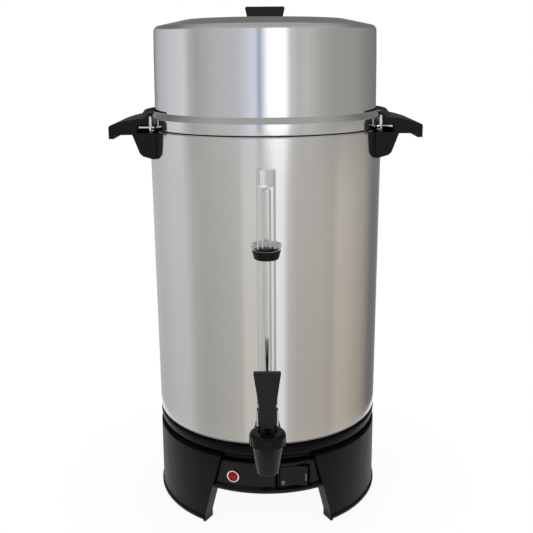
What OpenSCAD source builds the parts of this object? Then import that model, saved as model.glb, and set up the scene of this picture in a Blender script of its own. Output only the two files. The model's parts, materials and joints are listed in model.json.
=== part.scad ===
// Coffee urn: drawn vessel on a moulded base, deep cover, side handles, sight gauge,
// lever faucet and the percolator inside. Millimetres, +Z up, the front faces -Y.
// The origin lies on the vessel's axis, in the plane that the base stands on.

/* [Vessel] */
// Outside diameter of the vessel
vessel_d = 254; // [244:1:270]
// Wall of the vessel
vessel_wall = 1.2; // [1:0.1:1.6]
// Height of the vessel's floor above the skirt's lower edge
floor_up = 101; // [99:1:108]
// Height of the seam between the vessel and its cover above the skirt's lower edge
seam_up = 426; // [410:1:450]
// Rounding of the corner between the floor and the side
floor_corner_r = 3.5; // [3:0.5:6]
// Rounding of the shoulder below the seam
shoulder_r = 2; // [1.5:0.5:8]
// Inset of the mouth from the vessel's side
mouth_inset = 11; // [10:0.5:13]
// Depth of the turned-down rim in the mouth
rim_drop = 5; // [3:0.5:7]
// Diameter of the heating well in the floor
well_d = 64; // [60:1:70]
// Depth of the heating well
well_depth = 9; // [8:0.5:11]

/* [Cover] */
// Height of the cover's flat top above the seam
cover_h = 112; // [100:1:130]
// Wall of the cover
cover_wall = 1; // [0.8:0.1:1.4]
// Rounding of the cover's rim at the seam
cover_rim_r = 2; // [1.5:0.5:6]
// Height of the rim band, from the seam to the foot of the flare
band_h = 12; // [10:0.5:14]
// Height of the flare between the rim band and the side
flare_h = 6; // [4:0.5:8]
// Inset of the side from the rim band
cover_inset = 6.2; // [4:0.2:8]
// Draft of the side over its whole height
cover_draft = 1.7; // [1:0.1:3]
// Rounding of the top corner
cover_corner_r = 6; // [4:0.5:8]
// Height of the sloping ring round the flat top
crown_h = 6.2; // [4:0.2:9]
// Width of the sloping ring round the flat top
crown_w = 35; // [28:1:45]
// Depth of the plug that enters the vessel's mouth
plug_h = 9; // [6:0.5:12]
// Play between the plug and the mouth
plug_play = 0.5; // [0.4:0.1:0.8]

/* [Cover knob] */
// Width of the knob at its top
knob_top_w = 43; // [38:1:48]
// Width of the knob at its foot
knob_foot_w = 37; // [32:1:42]
// Depth of the knob from front to back
knob_depth = 19; // [16:1:24]
// Height of the knob
knob_h = 13; // [11:0.5:16]

/* [Handles] */
// Length of a handle along the vessel's side
handle_len = 109; // [100:1:114]
// Reach of a handle from the vessel's side
handle_reach = 37; // [32:0.5:42]
// Height of the grip's outer edge above the seam
grip_edge_up = 4.8; // [3:0.2:6]
// Height of the grip's inner edge above the seam
grip_root_up = 12; // [11:0.2:14]
// Swell of the grip's top between its edges
grip_swell = 3; // [0:0.2:4]
// Rounding of the grip's outer edge
grip_edge_r = 3; // [2:0.5:4]
// Depth of the grip's underside below the seam
grip_under = 4.4; // [4:0.2:5.4]
// Width of the lip under the grip's outer edge
lip_w = 5.2; // [4:0.2:7]
// Depth of the lip below the grip's underside
lip_h = 4.1; // [3:0.1:6]
// Depth of the leg below the seam
leg_drop = 29.8; // [27:0.2:34]
// Distance of the leg's foot from the vessel's side
leg_foot_out = 5.2; // [4:0.2:7]
// Rise of the leg's foot from the vessel outwards
leg_foot_rise = 3; // [1:0.5:5]
// Distance of the leg's root from the vessel's side
leg_root_out = 12.4; // [11:0.2:15]
// Height of the hood above the seam
hood_up = 18.5; // [17:0.5:20]
// Width of the hood
hood_w = 7; // [5:0.5:9]
// Reach of the slot for the bracket from the vessel's side
slot_out = 7.3; // [6.5:0.1:8]
// Height of the slot
slot_h = 8.7; // [8:0.1:9.5]
// Thickness of the grip above the slot
slot_cover = 6.2; // [5.6:0.2:7]

/* [Handle brackets] */
// Thickness of the bracket strap
strap_t = 1.5; // [1.2:0.1:2]
// Gap between the rim band and the upright of the bracket
upright_gap = 4.5; // [3.5:0.1:5]
// Depth of the strap's wall leg below the seam
strap_drop = 22; // [20:1:24]
// Angle that the strap's wall leg reaches past its screws
strap_margin = 5; // [4:0.5:8]
// Angle between the two screws of a handle, seen from the vessel's axis
handle_screw_angle = 22; // [18:1:28]
// Depth of the handle screws below the seam
handle_screw_drop = 14; // [12:0.5:16]

/* [Base] */
// Height of the skirt
skirt_h = 83; // [80:0.5:86]
// Height of the feet below the skirt's edge
rest_h = 2.4; // [1.6:0.2:4]
// Wall of the skirt
skirt_wall = 3; // [2.5:0.1:3.6]
// Overhang of the skirt's bottom bead
bead_out = 1.5; // [1:0.1:2.5]
// Height of the skirt's bottom bead
bead_h = 5; // [3:0.5:7]
// Angle of the arch's side, from the front to its middle height
arch_az = 29; // [27:0.5:31]
// Lean of the arch's sides
arch_lean = 15.6; // [12:0.2:18]
// Depth of the upright webs along the arch's sides
web_depth = 15; // [12:0.5:18]
// Thickness of the webs
web_t = 3; // [2.5:0.1:4]
// Width of the deck that carries the collar
deck_w = 29; // [27:0.5:32]
// Thickness of the deck
deck_t = 3; // [2.5:0.1:4]
// Inset of the collar's foot from the vessel's side
collar_inset = 8; // [6:0.5:10]
// Rounding of the collar's top edge
collar_r = 3; // [2:0.5:4]
// Wall of the collar
collar_wall = 3; // [2.5:0.1:3.5]

/* [Control panel] */
// Inset of the panel's face from the vessel's side
panel_inset = 4; // [3:0.2:5]
// Thickness of the panel
panel_t = 2.5; // [2:0.1:3]
// Drop from the skirt's top to the panel's underside
panel_drop = 41; // [38:0.5:43]
// Height of the panel's face
panel_h = 35.5; // [34:0.5:37]
// Rounding of the lip along the panel's lower edge
panel_lip_r = 3.6; // [3:0.1:3.8]
// Thickness of the base's bottom plate
plate_t = 1.5; // [1:0.1:2]

/* [Pilot light] */
// Angle of the pilot light from the front, to the left
pilot_az = 17.7; // [16:0.1:19]
// Height of the pilot light above the panel's underside
pilot_up = 18.5; // [16:0.5:22]
// Outside diameter of the bezel
pilot_bezel_d = 14.3; // [14:0.1:16]
// Diameter of the lens
pilot_lens_d = 10.7; // [9.5:0.1:11]

/* [Switch] */
// Angle of the rocker from the front, to the right
switch_az = 13.8; // [13:0.1:14.4]
// Width of the rocker
rocker_w = 30; // [28:0.5:31]
// Height of the rocker
rocker_h = 23; // [20:0.5:24]
// Throw of the rocker from off to on
rocker_throw = 16; // [12:1:16]
// Depth of the rocker's pivot behind the panel's face
pivot_depth = 9; // [8:0.5:10]

/* [Power inlet] */
// Width of the inlet's mouth
inlet_w = 30; // [28:0.5:34]
// Height of the inlet's mouth
inlet_h = 20; // [18:0.5:22]
// Depth of the inlet's cup
inlet_depth = 17; // [15:0.5:20]
// Diameter of the contact pins
inlet_pin_d = 4.8; // [4:0.1:5]
// Distance between the contact pins
inlet_pitch = 14; // [13:0.5:16]

/* [Gauge] */
// Distance of the gauge's axis from the vessel's side
gauge_out = 15.6; // [15.2:0.1:17]
// Outside diameter of the glass tube
glass_d = 10; // [9:0.2:11]
// Wall of the glass tube
glass_wall = 1.5; // [1:0.1:1.8]
// Depth of the top of the glass below the seam
glass_top_drop = 46; // [40:1:56]
// Outside diameter of the clear guard
guard_d = 18.6; // [18:0.1:19]
// Wall of the clear guard
guard_wall = 1.6; // [1.2:0.1:1.8]
// Depth of the guard's top below the seam
guard_top_drop = 29.5; // [26:0.5:36]
// Depth of the guard's clip below the seam
clip_drop = 114; // [100:1:130]
// Height of the guard's clip
clip_h = 11; // [9:0.5:13]
// Diameter of the clip's top
clip_top_d = 30; // [28:0.5:31]
// Diameter of the clip's foot
clip_foot_d = 24.5; // [24:0.5:27]

/* [Faucet] */
// Gap between the gauge's socket and the bonnet
valve_gap = 0.6; // [0.3:0.1:4]
// Height of the shank above the vessel's floor
shank_up = 21; // [20:0.5:25]
// Outside diameter of the shank
shank_d = 16; // [15:0.5:17]
// Bore of the shank
shank_bore = 9; // [8:0.5:9.5]
// Wall of the passage between the gauge and the valve
link_wall = 1.8; // [1.4:0.1:2]
// Outside diameter of the gauge's socket
socket_d = 22; // [21.5:0.5:23]
// Height of the socket's top above the shank
socket_up = 28; // [26:0.5:31]
// Depth of the spout's outlet below the shank
outlet_drop = 24.8; // [22:0.2:27]
// Outside diameter of the spout at its outlet
spout_d = 23.4; // [22:0.2:25]
// Outside diameter of the valve body at its top
body_top_d = 33; // [32:0.5:34]
// Bore of the outlet
outlet_bore = 12; // [11:0.5:13]
// Diameter of the valve chamber
chamber_d = 19; // [18:0.5:20]
// Depth of the valve seat below the shank
seat_drop = 13.5; // [12.5:0.5:14.5]
// Height of the chamber's top above the shank
chamber_up = 10; // [10:0.5:11]
// Outside diameter of the bonnet
bonnet_d = 37; // [36:0.5:39]
// Height of the bonnet
bonnet_h = 12; // [11.5:0.5:14]
// Diameter of the bonnet's opening
bonnet_mouth_d = 19; // [18.5:0.5:20]

/* [Lever] */
// Height of the lever's top above the shank
lever_up = 82; // [76:1:90]
// Width of the lever's paddle at its top
paddle_w = 26.9; // [24:0.1:30]
// Width of the lever's neck
neck_w = 14.6; // [13:0.1:15.4]
// Depth of the lever's neck from front to back
lever_t = 9; // [8:0.5:9.6]
// Depth of the lever's paddle at its top
paddle_t = 6.5; // [5:0.5:8]
// Height of the neck above the bonnet
neck_up = 20; // [17:0.5:24]
// Diameter of the lever's pin
lever_pin_d = 3; // [2.6:0.1:3.2]
// Diameter of the valve stem
stem_d = 5; // [4.6:0.1:5.4]
// Width of the stem's eye
eye_w = 4.4; // [3.6:0.1:4.6]

/* [Percolator] */
// Outside diameter of the basket
basket_d = 190; // [180:1:200]
// Height of the basket
basket_h = 84; // [76:1:90]
// Wall of the basket
basket_wall = 1; // [0.8:0.1:1.2]
// Depth of the basket's rim below the seam
basket_drop = 26; // [22:1:30]
// Diameter of the holes in the basket's floor
basket_hole_d = 3; // [2.4:0.1:3.4]
// Distance between the holes in the basket and the spreader
basket_pitch = 14; // [12:1:18]
// Rows of holes in the basket's floor
basket_rows = 5; // [3:1:6]
// Width of the plain border round the basket's holes
basket_border = 16; // [12:1:20]
// Rows of holes in the spreader
spreader_rows = 4; // [3:1:5]
// Diameter of the holes in the spreader
spreader_hole_d = 3.4; // [3:0.1:4]
// Outside diameter of the pump tube
tube_d = 12; // [11:0.5:13]
// Wall of the pump tube
tube_wall = 1; // [0.8:0.1:1.4]
// Rise of the pump tube above the seam
tube_up = 4; // [0:1:10]
// Diameter of the pump's foot
foot_d = 58; // [56:1:59]
// Lift of the pump's valve disc
valve_lift = 2; // [1.5:0.1:2.2]

/* [Heaters] */
// Diameter of the brewing element's ring
brew_ring_d = 84; // [80:1:100]
// Diameter of the element's sheath
sheath_d = 6.6; // [6:0.2:8]
// Diameter of the keep-warm heater
warm_d = 40; // [36:1:46]
// Thickness of the keep-warm heater
warm_t = 5; // [4:0.5:6]
// Width of the clamp under the keep-warm heater
clamp_w = 16; // [12:1:20]
// Diameter of the base stud
stud_d = 6; // [5:0.5:7]

/* [Fasteners] */
// Shank diameter of the machine screws
screw_d = 4; // [3.5:0.1:4.2]
// Head diameter of the machine screws
head_d = 7.6; // [7:0.1:8.2]
// Head height of the machine screws
head_h = 2.4; // [2:0.1:2.8]
// Radial clearance of a screw in its hole
hole_play = 0.15; // [0.1:0.05:0.3]
// Gap left between pieces that only lie beside each other
seat_gap = 0.3; // [0.2:0.05:0.5]
// Radial clearance of a pin that turns in its hole
run_play = 0.05; // [0.03:0.01:0.08]

/* [Hidden] */
$fn = 64;

big = 400;
floor_z = rest_h + floor_up;
seam_z = rest_h + seam_up;
vessel_r = vessel_d / 2;
mouth_r = vessel_r - mouth_inset;
well_z = floor_z - well_depth;

skirt_top_r = vessel_r + 0.4;
skirt_foot_r = vessel_r + 1;
deck_z = rest_h + skirt_h + 1;
deck_r = skirt_top_r - deck_w;
collar_foot_r = vessel_r - collar_inset;
arch_mid_z = rest_h + 40;
web_r = skirt_top_r - web_depth;
rest_block_h = rest_h + 6;
rest_back_az = 140;
panel_r = vessel_r - panel_inset;
panel_back_r = panel_r - panel_t;
panel_z = rest_h + skirt_h - panel_drop;
plate_z = panel_z + 2;
plate_r = web_r - 1.5;
boss_r = 5;
boss_at_r = deck_r + boss_r + 1;
boss_z = plate_z + plate_t;
base_screw_len = 14;

handle_out = vessel_r + handle_reach;
grip_back = 14;
handle_in_r = vessel_r + seat_gap;
slot_z = seam_z + grip_root_up - slot_cover - slot_h;
strap_z = seam_z + 2.6;
upright_r = vessel_r + upright_gap;
upright_top = seam_z + 14.8;
hood_r = vessel_r + 2.2;
strap_half = asin((handle_len / 2 - 0.5) / (upright_r + strap_t));
strap_leg_half = handle_screw_angle / 2 + strap_margin;
handle_screw_z = seam_z - handle_screw_drop;
handle_screw_len = vessel_wall + strap_t + 6;

gauge_r = vessel_r + gauge_out;
faucet_r = gauge_r + socket_d / 2 + bonnet_d / 2 + valve_gap;
guard_top = seam_z - guard_top_drop;
glass_top = seam_z - glass_top_drop;
glass_r = glass_d / 2;
guard_r = guard_d / 2;
clip_z = seam_z - clip_drop;
clip_arm_w = 9;

shank_z = floor_z + shank_up;
faucet_seat_z = shank_z - seat_drop;
chamber_top = shank_z + chamber_up;
outlet_z = shank_z - outlet_drop;
grommet_z = shank_z + shank_bore / 2 + 1.5;
grommet_h = 6;
glass_foot = grommet_z + 2;
guard_foot = grommet_z + grommet_h + 1;
bonnet_z = chamber_top - 3;
bonnet_top = bonnet_z + bonnet_h;
heel_z = bonnet_top - 3;
pin_z = heel_z + 8;
eye_r = 4.2;
eye_play = 0.4;
washer_d = 26;
washer_t = 2.5;
flange_t = 3;
shank_in = 14;
nut_t = 6;
lever_floor_play = 0.2;
neck_z = bonnet_top + neck_up;
lever_top = shank_z + lever_up;
cup_h = 7.5;
spring_d = 13;
spring_wire = 1.2;

lens_depth = 5;
rocker_z = panel_z + 19;
switch_wall = 1.5;
rocker_play = 0.5;
cavity_w = rocker_w + 4.4;
case_w = cavity_w + 2 * switch_wall;
case_h = rocker_h + 2 * rocker_play + 2 * switch_wall;
switch_depth = pivot_depth + 9;

thermostat_at = [-66, 34];
fuse_at = [66, 25];
inlet_z = panel_z + 21;
inlet_wall = 1.8;

basket_r = basket_d / 2;
basket_top = seam_z - basket_drop;
basket_z = basket_top - basket_h;
tube_r = tube_d / 2;
sleeve_r = tube_r + 0.4;
first_row_r = 4 * tube_r;
basket_sleeve_drop = 8;
dish_drop = 4;
dish_sleeve_up = 6;
foot_z = well_z + vessel_wall + 0.2;
foot_h = 10;
stop_h = 3;
valve_z = foot_z + 2;
valve_r = 8.4;
valve_t = 1.6;

// Points of an arc about [x, z], from one angle to another
function arc(x, z, r, from, to, n = 8) =
    [for (i = [0:n]) let (a = from + (to - from) * i / n) [x + r * cos(a), z + r * sin(a)]];

// Outline that is the same on both sides of the upright axis, from its right-hand points
function mirrored(side) =
    concat(side, [for (i = [len(side) - 1:-1:0]) [-side[i][0], side[i][1]]]);

module ring(outer_d, inner_d, h) {
    difference() {
        cylinder(d = outer_d, h = h);
        translate([0, 0, -1]) cylinder(d = inner_d, h = h + 2);
    }
}

// Turns a piece drawn towards -Y to an angle to the right of the front
module at_angle(az) {
    rotate([0, 0, az]) children();
}

// Lays a piece drawn along +Z on a line that points out of the front
module facing_front() {
    rotate([90, 0, 0]) children();
}

module radial_hole(az, z, d, from_r, to_r) {
    at_angle(az) translate([0, -from_r, z]) facing_front() cylinder(d = d, h = to_r - from_r);
}

// ---- Vessel ----

module vessel_shell() {
    w = vessel_wall;
    c = floor_corner_r;
    s = shoulder_r;
    well_r = well_d / 2;
    outside = concat(
        [[0, well_z], [well_r, well_z], [well_r + 2, floor_z]],
        arc(vessel_r - c, floor_z + c, c, -90, 0),
        arc(vessel_r - s, seam_z - s, s, 0, 90),
        [[mouth_r, seam_z], [mouth_r, seam_z - rim_drop]]);
    inside = concat(
        [[mouth_r + w, seam_z - rim_drop], [mouth_r + w, seam_z - w]],
        arc(vessel_r - s, seam_z - s, s - w, 90, 0),
        arc(vessel_r - c, floor_z + c, c - w, 0, -90),
        [[well_r + 2 - w, floor_z + w], [well_r - w, well_z + w], [0, well_z + w]]);
    color("silver") difference() {
        rotate_extrude($fn = 128) polygon(concat(outside, inside));
        radial_hole(0, shank_z, shank_d + 2 * hole_play, vessel_r - 8, vessel_r + 4);
        radial_hole(0, clip_z + clip_h / 2, screw_d + 2 * hole_play, vessel_r - 8, vessel_r + 4);
        handle_screw_holes(vessel_r - 8, vessel_r + 4);
    }
}

// ---- Cover ----

module cover_shell() {
    w = cover_wall;
    rim = cover_rim_r;
    plug_r = mouth_r - plug_play;
    foot_r = vessel_r - cover_inset;
    head_r = foot_r - cover_draft;
    top_z = seam_z + cover_h;
    corner_z = top_z - crown_h - cover_corner_r;
    plateau_r = head_r - crown_w;
    slope = atan(crown_h / crown_w);
    outside = concat(
        [[plug_r, seam_z - plug_h], [plug_r, seam_z]],
        arc(vessel_r - rim, seam_z + rim, rim, -90, 0),
        [[vessel_r, seam_z + band_h], [foot_r, seam_z + band_h + flare_h]],
        arc(head_r - cover_corner_r, corner_z, cover_corner_r, 0, 90 - slope),
        [[plateau_r, top_z], [0, top_z]]);
    inside = concat(
        [[0, top_z - w], [plateau_r, top_z - w]],
        arc(head_r - cover_corner_r, corner_z, cover_corner_r - w, 90 - slope, 0),
        [[foot_r - w, seam_z + band_h + flare_h - w / 2], [vessel_r - w, seam_z + band_h - w / 2]],
        arc(vessel_r - rim, seam_z + rim, rim - w, 0, -90),
        [[plug_r - w, seam_z + w], [plug_r - w, seam_z - plug_h]]);
    color("silver") difference() {
        rotate_extrude($fn = 128) polygon(concat(outside, inside));
        translate([0, 0, top_z - 5]) cylinder(d = screw_d + 2 * hole_play, h = 10);
    }
}

module cover_knob() {
    top_z = seam_z + cover_h;
    edge = 1.5;
    side = [[knob_foot_w / 2, 0], [knob_top_w / 2 - 0.4, knob_h - edge], [knob_top_w / 2 - edge, knob_h]];
    color("dimgray") translate([0, 0, top_z]) difference() {
        translate([0, knob_depth / 2, 0]) facing_front() linear_extrude(knob_depth)
            polygon(mirrored(side));
        translate([0, 0, -1]) cylinder(d = screw_d + 2 * run_play, h = knob_h - 3);
    }
}

module knob_screw() {
    under_z = seam_z + cover_h - cover_wall;
    color("gray") {
        translate([0, 0, under_z - head_h]) cylinder(d = head_d, h = head_h);
        translate([0, 0, under_z - 0.5]) cylinder(d = screw_d, h = cover_wall + knob_h - 4);
    }
}

// ---- Handles ----

// Places a part drawn on the right-hand side at one of the two sides
module on_side(side) {
    if (side < 0) mirror([1, 0, 0]) children();
    else children();
}

module handle_screw_holes(from_r, to_r) {
    for (side = [-1, 1], turn = [-1, 1])
        radial_hole(90 * side + turn * handle_screw_angle / 2, handle_screw_z,
            screw_d + 2 * hole_play, from_r, to_r);
}

// Cross-section of the grip, its lip and its leg, as [distance from the axis, height]
module handle_section() {
    edge = [handle_out, seam_z + grip_edge_up];
    root = [vessel_r - grip_back, seam_z + grip_root_up];
    under = seam_z - grip_under;
    foot = seam_z - leg_drop;
    foot_corner = 3;
    r = grip_edge_r;
    slope = atan((root[1] - edge[1] + 4 * grip_swell) / (edge[0] - root[0]));
    round_z = edge[1] + r * (1 - sin(slope)) * tan(slope) - r * cos(slope);
    top = [for (i = [1:8]) let (t = i / 8) edge + (root - edge) * t + [0, 4 * grip_swell * t * (1 - t)]];
    polygon(concat(arc(handle_out - r, round_z, r, 0, 90 - slope), top, [
        [root[0] - 6, root[1]],
        [root[0] - 6, foot],
        [vessel_r - 8, foot],
        [vessel_r + leg_foot_out - foot_corner, foot + leg_foot_rise],
        [vessel_r + leg_foot_out, foot + leg_foot_rise + foot_corner],
        [vessel_r + leg_root_out, under],
        [handle_out - lip_w, under],
        [handle_out - lip_w, under - lip_h],
        [handle_out, under - lip_h]]));
}

// Cross-section of the hood that rises round the cover's rim
module hood_section() {
    polygon([
        [upright_r, seam_z + 8], [upright_r, upright_top + seat_gap],
        [hood_r, upright_top + seat_gap], [hood_r, seam_z + hood_up - 1],
        [hood_r + 1, seam_z + hood_up], [hood_r + 3, seam_z + hood_up],
        [hood_r + hood_w + 1, seam_z + grip_root_up], [hood_r + hood_w + 1, seam_z + 8]]);
}

module handle(side) {
    half = handle_len / 2;
    recess_t = strap_t + seat_gap;
    recess_half = strap_leg_half + 0.5;
    color("dimgray") on_side(side) difference() {
        intersection() {
            union() {
                translate([0, half, 0]) facing_front() linear_extrude(handle_len) handle_section();
                rotate([0, 0, -40]) rotate_extrude(angle = 80, $fn = 128) hood_section();
            }
            translate([0, -half, 0]) cube([big, handle_len, 2 * big]);
        }
        cylinder(r = handle_in_r, h = 2 * big, $fn = 128);
        rotate([0, 0, -recess_half]) rotate_extrude(angle = 2 * recess_half, $fn = 128)
            translate([handle_in_r - 1, seam_z - strap_drop - seat_gap])
                square([recess_t + 1, strap_drop + 2]);
        translate([0, 0, slot_z]) cylinder(r = upright_r + strap_t + seat_gap,
            h = upright_top + seat_gap - slot_z, $fn = 128);
        translate([0, 0, upright_top])
            cylinder(r = hood_r, h = big, $fn = 128);
        translate([0, -half - 1, slot_z]) cube([vessel_r + slot_out, handle_len + 2, slot_h]);
        handle_screw_holes(vessel_r, vessel_r + strap_t + 7);
    }
}

module handle_left() {
    handle(-1);
}

module handle_right() {
    handle(1);
}

module handle_bracket(side) {
    t = strap_t;
    inner = vessel_r + seat_gap;
    foot_z = seam_z - strap_drop;
    half = handle_len / 2 - 0.5;
    color("gainsboro") on_side(side) difference() {
        union() {
            rotate([0, 0, -strap_leg_half]) rotate_extrude(angle = 2 * strap_leg_half, $fn = 128)
                translate([inner, foot_z]) square([t, strap_z + t - foot_z]);
            rotate([0, 0, -strap_half]) rotate_extrude(angle = 2 * strap_half, $fn = 128)
                translate([upright_r, strap_z]) square([t, upright_top - strap_z]);
            difference() {
                translate([0, -half, strap_z]) cube([upright_r + t / 2, 2 * half, t]);
                cylinder(r = inner + t / 2, h = 2 * big, $fn = 128);
            }
        }
        handle_screw_holes(vessel_r - 4, vessel_r + 4);
    }
}

module handle_bracket_left() {
    handle_bracket(-1);
}

module handle_bracket_right() {
    handle_bracket(1);
}

// One screw whose head lies against a face at the given distance and whose shank points outwards
module radial_screw(az, z, head_r, length) {
    at_angle(az) translate([0, -head_r, z]) facing_front() {
        translate([0, 0, -head_h]) cylinder(d = head_d, h = head_h);
        translate([0, 0, -0.5]) cylinder(d = screw_d, h = length + 0.5);
    }
}

module handle_screws() {
    color("silver") for (side = [-1, 1], turn = [-1, 1])
        radial_screw(90 * side + turn * handle_screw_angle / 2, handle_screw_z,
            vessel_r - vessel_wall - 0.1, handle_screw_len);
}

// ---- Base ----

module base_collar() {
    w = collar_wall;
    c = collar_r;
    top_r = vessel_r + 0.2;
    curve_top = floor_z - c;
    curve = [for (i = [1:8]) let (a = 90 * i / 8)
        [collar_foot_r + (top_r - collar_foot_r) * cos(a), curve_top - (curve_top - deck_z) * sin(a)]];
    inside = [for (i = [7:-1:0]) curve[i] - [w, 0]];
    color("black") rotate_extrude($fn = 128) polygon(concat(
        [[deck_r, floor_z - w], [deck_r, floor_z]],
        arc(top_r - c, curve_top, c, 90, 0),
        curve, inside, [[top_r - w, curve_top]]));
}

// The space in front, between two planes that lean outwards towards the table
module arch_void(grow) {
    intersection_for (side = [-1, 1])
        at_angle(side * arch_az) translate([0, 0, arch_mid_z]) rotate([0, -side * arch_lean, 0])
            translate([side > 0 ? grow - big : -grow, -big, -big]) cube([big, big, 2 * big]);
}

module skirt_section() {
    translate([0, rest_h]) polygon([
        [skirt_top_r - skirt_wall, 0], [skirt_foot_r + bead_out - 0.8, 0],
        [skirt_foot_r + bead_out, 1.2], [skirt_foot_r + bead_out, bead_h - 1.2],
        [skirt_foot_r, bead_h], [skirt_top_r, skirt_h - 1], [skirt_top_r - 1, skirt_h],
        [skirt_top_r - skirt_wall, skirt_h]]);
}

// Upright block at the skirt's edge that ends in a foot, set off sideways from its angle
module rest_block(az, off) {
    intersection() {
        at_angle(az) translate([off - web_t / 2, -skirt_foot_r - 1, 0])
            cube([web_t, web_depth + 10, rest_block_h]);
        ring(2 * skirt_foot_r, 2 * web_r, rest_block_h);
    }
}

module rest_blocks() {
    off = (arch_mid_z - rest_block_h) * tan(arch_lean) + web_t / 2;
    for (side = [-1, 1]) {
        rest_block(side * arch_az, side * off);
        rest_block(side * rest_back_az, 0);
    }
}

module boss_places() {
    for (az = [45:90:315]) at_angle(az) translate([0, -boss_at_r, 0]) children();
}

module base_housing() {
    inlet_half = inlet_w / 2 + inlet_wall;
    inlet_tall = inlet_h / 2 + inlet_wall;
    color("dimgray") difference() {
        union() {
            difference() {
                union() {
                    rotate_extrude($fn = 128) skirt_section();
                    translate([0, 0, deck_z - deck_t])
                        ring(2 * (skirt_top_r - skirt_wall + 0.5), 2 * deck_r, deck_t);
                }
                intersection() {
                    arch_void(0);
                    ring(2 * big, 2 * (panel_back_r - 1.5), 2 * big);
                }
            }
            intersection() {
                difference() {
                    arch_void(web_t);
                    arch_void(0);
                }
                translate([0, 0, rest_h])
                    ring(2 * (skirt_top_r - 0.2), 2 * web_r, skirt_h - deck_t + 1.5);
                translate([-big, -big, 0]) cube([2 * big, big - 20, big]);
            }
            rest_blocks();
            boss_places() translate([0, 0, boss_z]) cylinder(r = boss_r, h = deck_z - boss_z - 0.5);
        }
        boss_places() translate([0, 0, boss_z - 1])
            cylinder(d = screw_d + 2 * run_play, h = base_screw_len + 3);
        translate([-inlet_half - seat_gap, web_r, inlet_z - inlet_tall - seat_gap])
            cube([2 * (inlet_half + seat_gap), 40, 2 * (inlet_tall + seat_gap)]);
    }
}

module control_panel() {
    lip = panel_lip_r;
    flange_in = plate_r - 7;
    face_top = panel_z + panel_h;
    section = concat(
        [[flange_in, panel_z], [panel_r, panel_z]],
        arc(panel_r, panel_z + lip, lip, -90, 60),
        [[panel_r, panel_z + 2.2 * lip], [panel_r, face_top - 1], [panel_r - 1, face_top],
         [panel_back_r, face_top], [panel_back_r, plate_z], [flange_in, plate_z]]);
    color("black") difference() {
        intersection() {
            rotate_extrude($fn = 128) polygon(section);
            arch_void(-seat_gap);
            translate([-big, -big, 0]) cube([2 * big, big - 20, big]);
        }
        radial_hole(-pilot_az, panel_z + pilot_up, pilot_lens_d + 2.4, panel_r - 20, panel_r + 10);
        at_switch() translate([-case_w / 2 - 3, -10, -case_h / 2])
            cube([case_w + 3 + seat_gap, 30, case_h]);
    }
}

module bottom_plate() {
    color("silver") translate([0, 0, plate_z]) difference() {
        cylinder(r = plate_r, h = plate_t);
        boss_places() translate([0, 0, -1]) cylinder(d = screw_d + 2 * hole_play, h = plate_t + 2);
        translate([0, 0, -1]) cylinder(d = stud_d + 2 * hole_play, h = plate_t + 2);
    }
}

module base_screws() {
    color("silver") boss_places() translate([0, 0, plate_z]) {
        translate([0, 0, -head_h]) cylinder(d = head_d, h = head_h);
        translate([0, 0, -0.5]) cylinder(d = screw_d, h = base_screw_len + 0.5);
    }
}

module base_stud() {
    color("silver") translate([0, 0, plate_z - 8]) cylinder(d = stud_d, h = well_z - plate_z + 8);
}

module hex_nut(across, bore, h) {
    difference() {
        cylinder(d = across / cos(30), h = h, $fn = 6);
        translate([0, 0, -1]) cylinder(d = bore, h = h + 2);
    }
}

module base_nut() {
    color("silver") translate([0, 0, plate_z - 5]) hex_nut(11, stud_d + 2 * run_play, 5);
}

// ---- Pilot light ----

module at_pilot() {
    at_angle(-pilot_az) translate([0, -panel_r, panel_z + pilot_up]) facing_front() children();
}

module pilot_bezel() {
    barrel_d = pilot_lens_d + 2;
    color("gainsboro") at_pilot() difference() {
        union() {
            rotate_extrude() polygon([[0, 0.1], [pilot_bezel_d / 2, 0.1], [pilot_bezel_d / 2, 0.9],
                [pilot_bezel_d / 2 - 0.9, 2], [0, 2]]);
            translate([0, 0, -6]) cylinder(d = barrel_d, h = 6.5);
        }
        translate([0, 0, -7]) cylinder(d = pilot_lens_d, h = 12);
    }
}

module pilot_lens() {
    dome_r = 9;
    edge = sqrt(dome_r * dome_r - pilot_lens_d * pilot_lens_d / 4);
    color("red") at_pilot() intersection() {
        translate([0, 0, -lens_depth]) cylinder(d = pilot_lens_d - 2 * run_play, h = lens_depth + dome_r);
        translate([0, 0, 1.4 - edge]) sphere(r = dome_r);
    }
}

module pilot_lamp() {
    lamp_h = 14;
    color("orange") at_pilot() translate([0, 0, -lens_depth - 0.1 - lamp_h]) {
        cylinder(d = pilot_lens_d - 2 * seat_gap, h = lamp_h);
        for (x = [-2, 2]) translate([x, 0, -6]) cylinder(d = 1, h = 7);
    }
}

// ---- Switch ----

module at_switch() {
    at_angle(switch_az) translate([0, -panel_r, rocker_z]) children();
}

module switch_housing() {
    open_h = rocker_h + 2 * rocker_play;
    color("black") at_switch() difference() {
        translate([-case_w / 2, 1.2, -case_h / 2 + seat_gap])
            cube([case_w, switch_depth, case_h - 2 * seat_gap]);
        translate([-cavity_w / 2, 0, -open_h / 2]) cube([cavity_w, switch_depth - 1, open_h]);
        translate([0, pivot_depth, -big / 2]) cylinder(d = 3, h = big);
    }
}

module switch_rocker() {
    half = rocker_w / 2;
    tilt = rocker_throw / 2;
    face = [[-half, -2], [0, 0.8], [half, -2], [half - 0.5, 3], [3, pivot_depth + 3],
        [-3, pivot_depth + 3], [-half + 0.5, 3]];
    color("black") at_switch() translate([0, pivot_depth, 0]) rotate([0, 0, -tilt])
        translate([0, -pivot_depth, 0]) {
            translate([0, 0, -rocker_h / 2]) linear_extrude(rocker_h) polygon(face);
            translate([0, pivot_depth, -rocker_h / 2 - rocker_play - 1])
                cylinder(d = 3 - 2 * run_play, h = rocker_h + 2 * rocker_play + 2);
        }
}

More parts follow.
